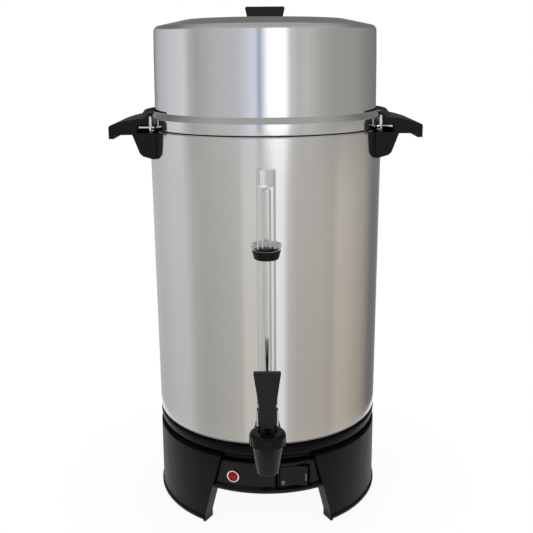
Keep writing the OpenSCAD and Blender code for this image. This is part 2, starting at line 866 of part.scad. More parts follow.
module switch_terminals() {
    color("gold") at_switch() for (x = [-10, 0, 10])
        translate([x - 3.1, switch_depth + 1.2, -3]) cube([6.2, 8, 0.8]);
}

// ---- Power inlet ----

module power_inlet() {
    w = inlet_w + 2 * inlet_wall;
    h = inlet_h + 2 * inlet_wall;
    mouth_y = skirt_top_r - 1.2;
    color("black") translate([0, mouth_y, inlet_z]) difference() {
        translate([-w / 2, -inlet_depth - 2, -h / 2]) cube([w, inlet_depth + 2, h]);
        translate([-inlet_w / 2, -inlet_depth, -inlet_h / 2]) cube([inlet_w, inlet_depth + 5, inlet_h]);
        for (x = [-1, 1]) translate([x * inlet_pitch / 2, 5, 0]) facing_front()
            cylinder(d = inlet_pin_d + 2 * run_play, h = inlet_depth + 20);
    }
}

module inlet_pins() {
    color("gainsboro") for (x = [-1, 1])
        translate([x * inlet_pitch / 2, skirt_top_r - 4, inlet_z]) facing_front()
            cylinder(d = inlet_pin_d, h = inlet_depth + 5);
}

// ---- Heaters ----

module brew_heater() {
    ring_r = brew_ring_d / 2;
    z = floor_z - sheath_d / 2 - 0.1;
    gap = 24;
    leg_turn = gap / 2 + 6;
    leg_h = 2 * sheath_d + 1;
    color("darkgray") {
        rotate([0, 0, 90 + gap / 2]) rotate_extrude(angle = 360 - gap, $fn = 96)
            translate([ring_r, z]) circle(d = sheath_d, $fn = 24);
        for (side = [-1, 1]) rotate([0, 0, 90 + side * leg_turn]) translate([ring_r, 0, z - leg_h])
            cylinder(d = sheath_d - 2, h = leg_h);
    }
}

module warm_heater() {
    color("khaki") translate([0, 0, well_z - warm_t]) ring(warm_d, stud_d + 1, warm_t);
}

module heater_clamp() {
    span = brew_ring_d / 2 - sheath_d / 2 - 1;
    color("silver") translate([0, 0, well_z - warm_t - 1.6]) difference() {
        translate([-span, -clamp_w / 2, 0]) cube([2 * span, clamp_w, 1.6]);
        translate([0, 0, -1]) cylinder(d = stud_d + 2 * hole_play, h = 4);
    }
}

module clamp_nut() {
    color("silver") translate([0, 0, well_z - warm_t - 1.6 - 5]) hex_nut(11, stud_d + 2 * run_play, 5);
}

module thermostat() {
    can_h = 9;
    color("tan") translate([thermostat_at[0], thermostat_at[1], floor_z - can_h]) {
        cylinder(d = 19, h = can_h);
        for (x = [-5, 5]) translate([x - 3.1, -0.4, -8]) cube([6.2, 0.8, 8.5]);
    }
}

module thermal_fuse() {
    fuse_d = 4;
    color("silver") translate([fuse_at[0], fuse_at[1], floor_z - fuse_d / 2 - 0.2]) rotate([-90, 0, 0]) {
        cylinder(d = fuse_d, h = 14);
        translate([0, 0, -8]) cylinder(d = 1, h = 30);
    }
}

// ---- Gauge ----

module at_gauge() {
    translate([0, -gauge_r, 0]) children();
}

module gauge_glass() {
    inner = glass_r - glass_wall;
    color("lightcyan", 0.5) at_gauge() rotate_extrude() polygon(concat(
        [[inner, glass_foot], [glass_r, glass_foot]],
        arc(0, glass_top - glass_r, glass_r, 0, 72),
        arc(0, glass_top - glass_r, inner, 64, 0)));
}

module gauge_shield() {
    color("lightcyan", 0.3) at_gauge() translate([0, 0, guard_foot])
        ring(guard_d, guard_d - 2 * guard_wall, guard_top - guard_foot);
}

module gauge_cap() {
    plug_r = guard_r - guard_wall - 0.1;
    color("lightcyan", 0.5) at_gauge() rotate_extrude() polygon([
        [glass_r + 0.2, glass_top - 10], [plug_r, glass_top - 10], [plug_r, guard_top - 1],
        [plug_r - 1, guard_top], [1.5, guard_top], [1.5, guard_top - 12], [glass_r + 0.2, glass_top + 1]]);
}

module gauge_bracket() {
    arm_back = gauge_r - vessel_r - 0.1;
    screw_z = clip_z + clip_h / 2;
    color("black") difference() {
        union() {
            at_gauge() translate([0, 0, clip_z])
                cylinder(d1 = clip_foot_d, d2 = clip_top_d, h = clip_h);
            translate([-clip_arm_w / 2, -gauge_r + guard_r + 0.6, clip_z])
                cube([clip_arm_w, arm_back - guard_r + 1, clip_h]);
        }
        at_gauge() translate([0, 0, clip_z - 1]) cylinder(d = guard_d + 2 * hole_play, h = clip_h + 2);
        cylinder(r = vessel_r + 0.1, h = 2 * big, $fn = 128);
        radial_hole(0, screw_z, screw_d + 2 * run_play, vessel_r - 5, vessel_r + 6);
    }
}

module gauge_bracket_screw() {
    color("silver") radial_screw(0, clip_z + clip_h / 2, vessel_r - vessel_wall - 0.1,
        vessel_wall + 5);
}

module gauge_washer() {
    outer = guard_r - 1.4;
    color("dimgray") at_gauge() rotate_extrude() polygon([
        [3, grommet_z], [outer, grommet_z], [outer, grommet_z + grommet_h],
        [glass_r + 0.05, grommet_z + grommet_h], [glass_r + 0.05, glass_foot], [3, glass_foot]]);
}

// ---- Faucet ----

module at_faucet() {
    translate([0, -faucet_r, 0]) children();
}

module faucet_body() {
    flange_y = vessel_r + washer_t + 0.1;
    neck_r = body_top_d / 2 - 1.2;
    color("black") difference() {
        union() {
            at_faucet() rotate_extrude() polygon([
                [0, outlet_z], [spout_d / 2 - 0.8, outlet_z], [spout_d / 2, outlet_z + 1],
                [body_top_d / 2, bonnet_z - 0.5], [neck_r, bonnet_z - 0.5], [neck_r, chamber_top],
                [0, chamber_top]]);
            at_gauge() translate([0, 0, shank_z - 10]) cylinder(d = socket_d, h = socket_up + 10);
            translate([0, -vessel_r + shank_in, shank_z]) facing_front()
                cylinder(d = shank_d, h = gauge_r - vessel_r + shank_in);
            translate([0, -gauge_r, shank_z]) facing_front()
                cylinder(d = shank_bore + 2 * link_wall, h = faucet_r - gauge_r);
            translate([0, -flange_y, shank_z]) facing_front() cylinder(d = washer_d + 2, h = flange_t);
        }
        translate([0, -vessel_r + shank_in + 1, shank_z]) facing_front()
            cylinder(d = shank_bore, h = faucet_r - vessel_r + shank_in + 1);
        at_faucet() {
            translate([0, 0, outlet_z - 1]) cylinder(d = outlet_bore, h = faucet_seat_z - outlet_z + 2);
            translate([0, 0, faucet_seat_z]) cylinder(d = chamber_d, h = 60);
        }
        at_gauge() {
            translate([0, 0, shank_z]) cylinder(r = 3, h = 20);
            translate([0, 0, grommet_z]) cylinder(r = guard_r - 1.3, h = 60);
            translate([0, 0, guard_foot]) cylinder(r = guard_r + 0.15, h = 60);
        }
    }
}

module faucet_bonnet() {
    neck_r = body_top_d / 2 - 1.2 + 0.1;
    edge = 4.5;
    color("black") at_faucet() difference() {
        rotate_extrude() polygon(concat(
            [[0, bonnet_z], [bonnet_d / 2, bonnet_z]],
            arc(bonnet_d / 2 - edge, bonnet_top - edge, edge, 0, 90),
            [[0, bonnet_top]]));
        translate([0, 0, bonnet_z - 1]) cylinder(r = neck_r, h = chamber_top - bonnet_z + 1);
        translate([0, 0, bonnet_z]) cylinder(d = stem_d + 2 * run_play, h = bonnet_h + 1);
        translate([0, 0, heel_z]) cylinder(d = bonnet_mouth_d, h = bonnet_h);
        for (a = [0:30:330]) rotate([0, 0, a]) translate([bonnet_d / 2 + 0.9, 0, bonnet_z - 1])
            cylinder(d = 3, h = bonnet_h - edge - 1);
    }
}

module faucet_lever() {
    foot = heel_z + lever_floor_play;
    slot_w = stem_d + seat_gap;
    front = [[neck_w / 2 - 1, foot], [neck_w / 2, foot + 2], [neck_w / 2, neck_z],
        [paddle_w / 2, lever_top - 1], [paddle_w / 2 - 0.6, lever_top]];
    side = [[lever_t / 2 - 1, foot], [lever_t / 2, foot + 2], [lever_t / 2, neck_z],
        [paddle_t / 2, lever_top - 1], [paddle_t / 2 - 0.6, lever_top]];
    color("black") at_faucet() difference() {
        intersection() {
            translate([0, 20, 0]) facing_front() linear_extrude(40) polygon(mirrored(front));
            rotate([0, 0, 90]) translate([0, 20, 0]) facing_front() linear_extrude(40)
                polygon(mirrored(side));
        }
        translate([-slot_w / 2, -20, foot - 1]) cube([slot_w, 40, pin_z - foot + 1]);
        translate([-slot_w / 2, 0, pin_z]) rotate([0, 90, 0]) cylinder(r = eye_r + eye_play, h = slot_w);
        translate([-20, 0, pin_z]) rotate([0, 90, 0]) cylinder(d = lever_pin_d + 2 * run_play, h = 40);
    }
}

module lever_pin() {
    color("silver") at_faucet() translate([-neck_w / 2 + 0.2, 0, pin_z]) rotate([0, 90, 0])
        cylinder(d = lever_pin_d, h = neck_w - 0.4);
}

module valve_stem() {
    collar_z = faucet_seat_z + cup_h;
    color("silver") at_faucet() difference() {
        union() {
            translate([0, 0, faucet_seat_z + 2]) cylinder(d = stem_d, h = heel_z - faucet_seat_z);
            translate([0, 0, collar_z]) cylinder(d = spring_d - 1, h = 1.2);
            translate([-eye_w / 2, -3, heel_z + 1]) cube([eye_w, 6, pin_z - heel_z - 1]);
            translate([-eye_w / 2, 0, pin_z]) rotate([0, 90, 0]) cylinder(r = eye_r, h = eye_w);
        }
        translate([-20, 0, pin_z]) rotate([0, 90, 0]) cylinder(d = lever_pin_d + 0.04, h = 40);
    }
}

module seat_cup() {
    outer_r = chamber_d / 2 - 1;
    color("white") at_faucet() difference() {
        rotate_extrude() polygon([[0, faucet_seat_z + 0.05], [outer_r, faucet_seat_z + 0.05],
            [outer_r, faucet_seat_z + 2.5], [outer_r - 3, faucet_seat_z + cup_h],
            [0, faucet_seat_z + cup_h]]);
        translate([0, 0, faucet_seat_z + 2]) cylinder(d = stem_d, h = cup_h);
    }
}

// Coil of round wire as one swept solid
module coil(d, wire, height, turns) {
    sides = 8;
    steps = 14 * turns;
    r = d / 2 - wire / 2;
    travel = height - wire;
    points = [for (i = [0:steps]) let (a = 360 * i / 14) for (k = [0:sides - 1])
        let (b = 360 * k / sides, q = r + wire / 2 * cos(b))
        [q * cos(a), q * sin(a), wire / 2 + travel * i / steps + wire / 2 * sin(b)]];
    skin = [for (i = [0:steps - 1], k = [0:sides - 1]) let (n = (k + 1) % sides)
        [i * sides + k, (i + 1) * sides + k, (i + 1) * sides + n, i * sides + n]];
    ends = [[for (k = [0:sides - 1]) k], [for (k = [sides - 1:-1:0]) steps * sides + k]];
    polyhedron(points, concat(skin, ends));
}

module valve_spring() {
    from_z = faucet_seat_z + cup_h + 1.2 + 0.1;
    color("silver") at_faucet() translate([0, 0, from_z])
        coil(spring_d, spring_wire, chamber_top - from_z - 0.1, 3);
}

module faucet_nut() {
    inner_face = vessel_r - vessel_wall - 0.7 - washer_t;
    color("gray") translate([0, -inner_face + nut_t, shank_z]) facing_front()
        hex_nut(washer_d - 3, shank_d + 2 * run_play, nut_t);
}

module faucet_washers() {
    inner_face = vessel_r - vessel_wall - 0.7;
    color("dimgray") {
        translate([0, -vessel_r - 0.05, shank_z]) facing_front()
            ring(washer_d, shank_d + 2 * run_play, washer_t);
        translate([0, -inner_face + washer_t, shank_z]) facing_front()
            ring(washer_d, shank_d + 2 * run_play, washer_t);
    }
}

// ---- Percolator ----

// Rows of holes in a round plate, each row evenly spaced
module hole_rows(first_r, last_r, rows, pitch, d, h) {
    for (row = [0:rows - 1]) {
        r = first_r + (last_r - first_r) * row / (rows - 1);
        count = floor(2 * PI * r / pitch);
        for (i = [0:count - 1]) rotate([0, 0, 360 * (i + row / 2) / count])
            translate([r, 0, -1]) cylinder(d = d, h = h + 2, $fn = 16);
    }
}

module coffee_basket() {
    w = basket_wall;
    roll = 1.6;
    color("silver") difference() {
        rotate_extrude($fn = 96) polygon(concat(
            [[sleeve_r, basket_z], [basket_r - 6, basket_z]],
            arc(basket_r - 6, basket_z + 6, 6, -90, 0),
            [[basket_r, basket_top - 2 * roll], [basket_r + roll, basket_top - 2 * roll],
             [basket_r + roll, basket_top], [basket_r - w, basket_top]],
            arc(basket_r - 6, basket_z + 6, 6 - w, 0, -90),
            [[sleeve_r + w, basket_z + w], [sleeve_r + w, basket_top - basket_sleeve_drop],
             [sleeve_r, basket_top - basket_sleeve_drop]]));
        translate([0, 0, basket_z])
            hole_rows(first_row_r, basket_r - basket_border, basket_rows, basket_pitch, basket_hole_d, w);
    }
}

module basket_spreader() {
    w = basket_wall;
    rim_r = basket_r + 1.6;
    dish_r = basket_r - w - 0.8;
    z = basket_top + 0.05;
    dish_z = z - dish_drop;
    dish_hole_r = sleeve_r + 0.6;
    color("silver") difference() {
        rotate_extrude($fn = 96) polygon([
            [dish_hole_r, dish_z], [dish_r, dish_z], [dish_r, z], [rim_r, z], [rim_r, z + w],
            [dish_r - w, z + w], [dish_r - w, dish_z + w], [dish_hole_r + w, dish_z + w],
            [dish_hole_r + w, z + dish_sleeve_up], [dish_hole_r, z + dish_sleeve_up]]);
        translate([0, 0, dish_z])
            hole_rows(first_row_r, basket_r - basket_border, spreader_rows, basket_pitch, spreader_hole_d, w);
    }
}

module pump_stem() {
    from_z = foot_z + foot_h - 3;
    tube_top = seam_z + tube_up;
    color("silver") difference() {
        union() {
            translate([0, 0, from_z]) cylinder(r = tube_r, h = tube_top - from_z);
            translate([0, 0, basket_z - stop_h - 0.05]) cylinder(r = tube_r + 5, h = stop_h);
        }
        translate([0, 0, from_z - 1]) cylinder(r = tube_r - tube_wall, h = tube_top);
    }
}

module pump_foot() {
    foot_r = foot_d / 2;
    color("silver") difference() {
        rotate_extrude($fn = 96) polygon([
            [0, foot_z], [foot_r, foot_z], [foot_r, foot_z + 1.2], [foot_r - 8, foot_z + foot_h - 2],
            [tube_r + 4, foot_z + foot_h], [tube_r + 4, foot_z + foot_h + 8], [0, foot_z + foot_h + 8]]);
        translate([0, 0, valve_z - 0.1]) cylinder(r = valve_r + 0.6, h = valve_t + valve_lift + 0.6);
        translate([0, 0, foot_z - 1]) cylinder(r = tube_r - tube_wall, h = 40);
        translate([0, 0, foot_z + foot_h - 3]) cylinder(r = tube_r + 0.02, h = 40);
        for (a = [0:60:300]) rotate([0, 0, a]) translate([tube_r - tube_wall - 1, -2, foot_z - 1])
            cube([foot_r, 4, 2.2]);
    }
}

module pump_valve() {
    color("gainsboro") translate([0, 0, valve_z]) ring(2 * valve_r, 2, valve_t);
}

vessel_shell();
cover_shell();
cover_knob();
knob_screw();
handle_left();
handle_right();
handle_bracket_left();
handle_bracket_right();
handle_screws();
base_collar();
base_housing();
control_panel();
bottom_plate();
base_screws();
base_stud();
base_nut();
pilot_bezel();
pilot_lens();
pilot_lamp();
switch_housing();
switch_rocker();
switch_terminals();
power_inlet();
inlet_pins();
brew_heater();
warm_heater();
heater_clamp();
clamp_nut();
thermostat();
thermal_fuse();
gauge_glass();
gauge_shield();
gauge_cap();
gauge_bracket();
gauge_bracket_screw();
gauge_washer();
faucet_body();
faucet_bonnet();
faucet_lever();
lever_pin();
valve_stem();
seat_cup();
valve_spring();
faucet_nut();
faucet_washers();
coffee_basket();
basket_spreader();
pump_stem();
pump_foot();
pump_valve();
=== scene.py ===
import json
import math
import bpy
from mathutils import Matrix, Vector


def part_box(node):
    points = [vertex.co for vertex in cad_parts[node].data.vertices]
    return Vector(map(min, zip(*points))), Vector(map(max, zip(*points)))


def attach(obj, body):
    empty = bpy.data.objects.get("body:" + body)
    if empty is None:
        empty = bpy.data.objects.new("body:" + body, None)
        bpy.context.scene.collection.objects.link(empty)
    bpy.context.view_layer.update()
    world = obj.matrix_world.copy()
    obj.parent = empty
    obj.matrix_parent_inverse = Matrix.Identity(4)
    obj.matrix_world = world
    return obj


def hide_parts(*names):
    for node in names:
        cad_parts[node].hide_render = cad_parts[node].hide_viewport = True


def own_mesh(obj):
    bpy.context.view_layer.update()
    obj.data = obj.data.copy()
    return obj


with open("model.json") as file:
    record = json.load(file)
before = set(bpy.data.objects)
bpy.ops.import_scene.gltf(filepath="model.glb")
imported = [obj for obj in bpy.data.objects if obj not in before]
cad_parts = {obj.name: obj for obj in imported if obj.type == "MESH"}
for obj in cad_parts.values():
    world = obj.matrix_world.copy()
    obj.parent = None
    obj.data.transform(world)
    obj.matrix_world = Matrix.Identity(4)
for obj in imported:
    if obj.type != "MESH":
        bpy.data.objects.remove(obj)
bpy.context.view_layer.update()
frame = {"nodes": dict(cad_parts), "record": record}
nodes = frame["nodes"]
mm = 0.001
print("frame loaded")


# Camera: in front of the urn, level with its cover and tipped down
camera = {"place": (0, -0.8941, 0.5064), "tiltDown": 15.03, "roll": -0.38, "lens": 53.83, "sensor": 36,
          "nearest": 0.01}


def makeCamera(c):
    data = bpy.data.cameras.new("camera")
    data.lens = c["lens"]
    data.sensor_width = c["sensor"]
    data.clip_start = c["nearest"]
    eye = bpy.data.objects.new("camera", data)
    bpy.context.scene.collection.objects.link(eye)
    tilt = Matrix.Rotation(math.radians(90 - c["tiltDown"]), 4, "X")
    roll = Matrix.Rotation(math.radians(c["roll"]), 4, "Z")
    eye.matrix_world = Matrix.Translation(c["place"]) @ tilt @ roll
    bpy.context.scene.camera = eye


makeCamera(camera)


# Selecting and finishing pieces
welds = {"outline": 1e-6, "mesh": 2e-6}  # points closer than this, in metres, become one


def clearSelection():
    if bpy.context.object and bpy.context.object.mode != "OBJECT":
        bpy.ops.object.mode_set(mode="OBJECT")
    bpy.ops.object.select_all(action="DESELECT")


def pick(piece):
    clearSelection()
    piece.select_set(True)
    bpy.context.view_layer.objects.active = piece


def bakeModifiers(piece):
    pick(piece)
    for modifier in list(piece.modifiers):
        bpy.ops.object.modifier_apply(modifier=modifier.name)


def smooth(piece, angle=35):
    pick(piece)
    bpy.ops.object.shade_smooth_by_angle(angle=math.radians(angle))


# Long faces keep their own direction, so that a mirrored room isn't bent at their ends
def evenNormals(piece):
    even = piece.modifiers.new("even", "WEIGHTED_NORMAL")
    even.keep_sharp = True
    even.weight = 90
    bakeModifiers(piece)


def roundEdges(piece, width, segments):
    edges = piece.modifiers.new("edges", "BEVEL")
    edges.width = width * mm
    edges.segments = segments
    bakeModifiers(piece)


def settle(piece):
    pick(piece)
    bpy.ops.object.transform_apply(location=True, rotation=True, scale=True)


def weld(gap):
    bpy.ops.mesh.select_all(action="SELECT")
    bpy.ops.mesh.remove_doubles(threshold=gap)
    bpy.ops.mesh.select_all(action="SELECT")


def finishPiece(piece, name, body, material, standsFor=()):
    piece.name = name
    piece.data.name = name
    piece.data.materials.clear()
    piece.data.materials.append(material)
    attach(piece, body)
    if standsFor:
        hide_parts(*standsFor)


# A turned piece: one point is drawn out along the outline, then spun about the upright axis
def turn(outline, axis=(0, 0), steps=72):
    clearSelection()
    bpy.ops.mesh.primitive_plane_add(size=mm, location=(0, 0, 0))
    piece = bpy.context.object
    bpy.ops.object.mode_set(mode="EDIT")
    bpy.ops.mesh.select_all(action="SELECT")
    bpy.ops.mesh.merge(type="CENTER")
    points = [Vector((axis[0] + r * mm, axis[1], z * mm)) for r, z in outline]
    bpy.ops.transform.translate(value=points[0])
    here = points[0]
    for point in points[1:] + points[:1]:
        bpy.ops.mesh.extrude_region_move(TRANSFORM_OT_translate={"value": point - here})
        here = point
    weld(welds["outline"])
    bpy.ops.mesh.spin(steps=steps, angle=math.tau, center=(axis[0], axis[1], 0), axis=(0, 0, 1))
    weld(welds["mesh"])
    bpy.ops.mesh.normals_make_consistent(inside=False)
    bpy.ops.object.mode_set(mode="OBJECT")
    smooth(piece, 30)
    evenNormals(piece)
    return piece


# Points of a rounding about (r, z), in millimetres
def rounding(r, z, radius, start, end, count=8):
    angles = [math.radians(start + (end - start) * i / count) for i in range(count + 1)]
    return [(r + radius * math.cos(a), z + radius * math.sin(a)) for a in angles]


# Points beside a corner, each as (further out, further up)
def beside(r, z, offsets):
    return [(r + out, z + up) for out, up in offsets]


# A CAD node's shape with its edges rounded
easing = {"flat": 0.6, "angle": 38, "segments": 2}


def easedCopy(node, edge, angle=easing["angle"], segments=easing["segments"]):
    source = nodes[node]
    piece = source.copy()
    piece.data = source.data.copy()
    for key in list(piece.keys()):
        if key.startswith("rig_"):
            del piece[key]
    bpy.context.scene.collection.objects.link(piece)
    piece.parent = None
    pick(piece)
    bpy.ops.object.mode_set(mode="EDIT")
    weld(welds["mesh"])
    bpy.ops.mesh.dissolve_limited(angle_limit=math.radians(easing["flat"]))
    bpy.ops.object.mode_set(mode="OBJECT")
    bevel = piece.modifiers.new("edges", "BEVEL")
    bevel.width = edge * mm
    bevel.segments = segments
    bevel.limit_method = "ANGLE"
    bevel.angle_limit = math.radians(angle)
    bakeModifiers(piece)
    smooth(piece, angle)
    evenNormals(piece)
    return piece


# Nodes of the materials

def shader(name, values):
    material = bpy.data.materials.new(name)
    material.use_nodes = True
    tree = material.node_tree
    face = tree.nodes["Principled BSDF"]
    for socket, value in values.items():
        face.inputs[socket].default_value = value
    return material, tree, face


def link(tree, source, output, target, socket):
    tree.links.new(source.outputs[output], target.inputs[socket])


def noise(tree, stretch, size, detail=3, rough=0.5):
    coords = tree.nodes.new("ShaderNodeTexCoord")
    mapping = tree.nodes.new("ShaderNodeMapping")
    mapping.inputs["Scale"].default_value = stretch
    link(tree, coords, "Object", mapping, "Vector")
    cloud = tree.nodes.new("ShaderNodeTexNoise")
    cloud.inputs["Scale"].default_value = size
    cloud.inputs["Detail"].default_value = detail
    cloud.inputs["Roughness"].default_value = rough
    link(tree, mapping, "Vector", cloud, "Vector")
    return cloud


def ramp(tree, source, stops, output="Fac"):
    band = tree.nodes.new("ShaderNodeValToRGB")
    elements = band.color_ramp.elements
    while len(elements) < len(stops):
        elements.new(0.5)
    for element, (place, colour) in zip(elements, stops):
        element.position = place
        element.color = (*colour, 1)
    link(tree, source, output, band, "Fac")
    return band


def spread(tree, source, low, high):
    remap = tree.nodes.new("ShaderNodeMapRange")
    remap.inputs["To Min"].default_value = low
    remap.inputs["To Max"].default_value = high
    link(tree, source, "Fac", remap, "Value")
    return remap


def addBump(tree, face, source, strength, distance):
    bump = tree.nodes.new("ShaderNodeBump")
    bump.inputs["Strength"].default_value = strength
    bump.inputs["Distance"].default_value = distance
    link(tree, source, "Fac", bump, "Height")
    link(tree, bump, "Normal", face, "Normal")


# Colour and roughness that vary with a cloudy noise
def clouded(tree, face, clouds, first, second, smoothest, roughest):
    tone = ramp(tree, clouds, [first, second])
    link(tree, tone, "Color", face, "Base Color")
    sheen = spread(tree, clouds, smoothest, roughest)
    link(tree, sheen, "Result", face, "Roughness")


# Metal with fine lines round the upright axis
def turnedMetal(name, light, dark, roughness, line, anisotropy=0.0):
    values = {"Metallic": 1.0, "Anisotropic": anisotropy, "Anisotropic Rotation": 0.25}
    material, tree, face = shader(name, values)
    lines = noise(tree, (3, 3, 900), 1.6, 6, 0.62)
    clouds = noise(tree, (1, 1, 1.5), 7, 3)
    mix = tree.nodes.new("ShaderNodeMix")
    mix.inputs["Factor"].default_value = 0.35
    link(tree, lines, "Fac", mix, "A")
    link(tree, clouds, "Fac", mix, "B")
    tone = ramp(tree, mix, [(0.3, dark), (0.65, light)], "Result")
    link(tree, tone, "Color", face, "Base Color")
    grain = spread(tree, lines, roughness - 0.04, roughness + 0.04)
    link(tree, grain, "Result", face, "Roughness")
    addBump(tree, face, lines, line, 0.0002)
    if anisotropy:
        tangent = tree.nodes.new("ShaderNodeTangent")
        tangent.direction_type = "RADIAL"
        tangent.axis = "Z"
        link(tree, tangent, "Tangent", face, "Tangent")
    return material


# Moulded plastic or rubber with a fine grain and slightly uneven gloss
def moulded(name, colour, worn, roughness, grain, grainSize=900, gloss=0.5):
    material, tree, face = shader(name, {"Specular IOR Level": gloss})
    clouds = noise(tree, (1, 1, 1), 22, 4)
    clouded(tree, face, clouds, (0.35, colour), (0.75, worn), roughness - 0.06, roughness + 0.07)
    skin = noise(tree, (1, 1, 1), grainSize, 2)
    addBump(tree, face, skin, grain, 0.0003)
    return material


def plated(name, light, dark, roughness):
    material, tree, face = shader(name, {"Metallic": 1.0})
    clouds = noise(tree, (1, 1, 1), 60, 4)
    clouded(tree, face, clouds, (0.3, dark), (0.7, light), roughness - 0.04, roughness + 0.05)
    addBump(tree, face, clouds, 0.03, 0.0003)
    return material


def clear(name, tint, roughness, ior):
    material, tree, face = shader(name, {"Transmission Weight": 1.0, "IOR": ior})
    clouds = noise(tree, (1, 1, 0.1), 20, 1)
    clouded(tree, face, clouds, (0.3, tint), (0.8, (0.99, 0.99, 0.99)), roughness, roughness + 0.01)
    return material


# Finishes: colour in light and shade, or new and worn, then roughness and relief
brushed = turnedMetal("brushedAluminium", (0.80, 0.80, 0.79), (0.76, 0.76, 0.75), 0.12, 0.03, 0.5)
polished = turnedMetal("polishedAluminium", (0.83, 0.83, 0.83), (0.80, 0.80, 0.80), 0.08, 0.01, 0.3)
# Dark metal for the walls of the gap under the cover's rim: painted shade in the seam
seamShade = turnedMetal("seamShadeAluminium", (0.10, 0.10, 0.10), (0.06, 0.06, 0.06), 0.55, 0.03)
# Darker metal for the vessel's bottom corner: painted shade where it sits over the base collar
shaded = turnedMetal("shadedAluminium", (0.26, 0.26, 0.26), (0.22, 0.22, 0.22), 0.42, 0.03)
spun = turnedMetal("spunAluminium", (0.74, 0.74, 0.73), (0.62, 0.62, 0.61), 0.36, 0.12)

brightSteel = plated("brightSteel", (0.86, 0.86, 0.87), (0.76, 0.76, 0.78), 0.12)
satinSteel = plated("satinSteel", (0.86, 0.86, 0.86), (0.78, 0.78, 0.78), 0.30)
plainSteel = plated("plainSteel", (0.62, 0.62, 0.61), (0.46, 0.46, 0.45), 0.36)
# Steel coloured near black: painted shade for the pin and stem inside the faucet's bonnet
recessShadeSteel = plated("recessShadeSteel", (0.06, 0.06, 0.06), (0.04, 0.04, 0.04), 0.4)
brassMetal = plated("brass", (0.80, 0.62, 0.30), (0.60, 0.44, 0.20), 0.3)

satinBlack = moulded("satinBlack", (0.0065, 0.0065, 0.0068), (0.010, 0.010, 0.0103), 0.42, 0.10, gloss=0.3)
baseBlack = moulded("baseBlack", (0.0035, 0.0035, 0.0037), (0.006, 0.006, 0.0063), 0.42, 0.10, gloss=0.1)
handleBlack = moulded("handleBlack", (0.005, 0.005, 0.0052), (0.008, 0.008, 0.0083), 0.40, 0.10, gloss=0.16)
glossBlack = moulded("glossBlack", (0.003, 0.003, 0.0032), (0.005, 0.005, 0.0053), 0.16, 0.02, 300, 0.18)
collarBlack = moulded("collarBlack", (0.0022, 0.0022, 0.0024), (0.004, 0.004, 0.0043), 0.30, 0.03, 300, 0.05)
lining = moulded("urnLining", (0.36, 0.36, 0.355), (0.42, 0.42, 0.415), 0.42, 0.05, 500, 0.8)
rubber = moulded("greyRubber", (0.03, 0.03, 0.03), (0.05, 0.05, 0.05), 0.65, 0.2, 1200, 0.3)
silicone = moulded("whiteSilicone", (0.72, 0.71, 0.66), (0.80, 0.79, 0.74), 0.5, 0.1, 700)
redLens = moulded("redLens", (0.33, 0.002, 0.004), (0.42, 0.004, 0.006), 0.10, 0.0, gloss=0.15)
paleInk = moulded("paleInk", (0.34, 0.34, 0.34), (0.42, 0.42, 0.42), 0.5, 0.0)

clearPlastic = clear("clearPlastic", (0.95, 0.96, 0.96), 0.0, 1.30)
greyPlastic = clear("greyPlastic", (0.80, 0.81, 0.81), 0.02, 1.30)
clearGlass = clear("clearGlass", (0.86, 0.87, 0.87), 0.0, 1.38)
print("materials made")

slotPaint = {
    "brushed_aluminium": brushed, "polished_aluminium": polished, "spun_aluminium": spun,
    "black_satin": satinBlack, "black_gloss": glossBlack, "bright_steel": brightSteel,
    "plain_steel": plainSteel, "clear_plastic": clearPlastic, "clear_glass": clearGlass,
    "red_lens": redLens, "grey_rubber": rubber, "white_silicone": silicone, "brass": brassMetal}
# The lever pin and valve stem take steel painted dark as shade in the bonnet
ownPaint = {"lever_pin": recessShadeSteel, "valve_stem": recessShadeSteel, "base_collar": collarBlack}

for row in frame["record"]["subparts"]:
    name = row["node"]
    paint = ownPaint.get(name, slotPaint[row["material_slot"]])
    nodes[name].data.materials.clear()
    nodes[name].data.materials.append(paint)


# Places on the frame, in millimetres
def low(node):
    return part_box(node)[0][2] / mm


def high(node):
    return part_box(node)[1][2] / mm


# Middle of a node's box, in metres
def middle(node):
    a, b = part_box(node)
    return [(p + q) / 2 for p, q in zip(a, b)]


# Vessel and cover, turned finely so that their reflections run true
fine = 240
seam = high("vessel_shell")
vessel = {"r": 127, "wall": 1.2, "seam": seam, "corner": 3.5, "shoulder": 2, "rings": 6,
          "mouth": 116, "rimDrop": 5, "lipOut": 0.4, "lipDown": 0.5,
          "well": low("vessel_shell"), "wellDeep": 9, "wellR": 32, "wellFlare": 2,
          "liningIn": 0.5, "liningUp": 0.6, "liningDown": 1.5}


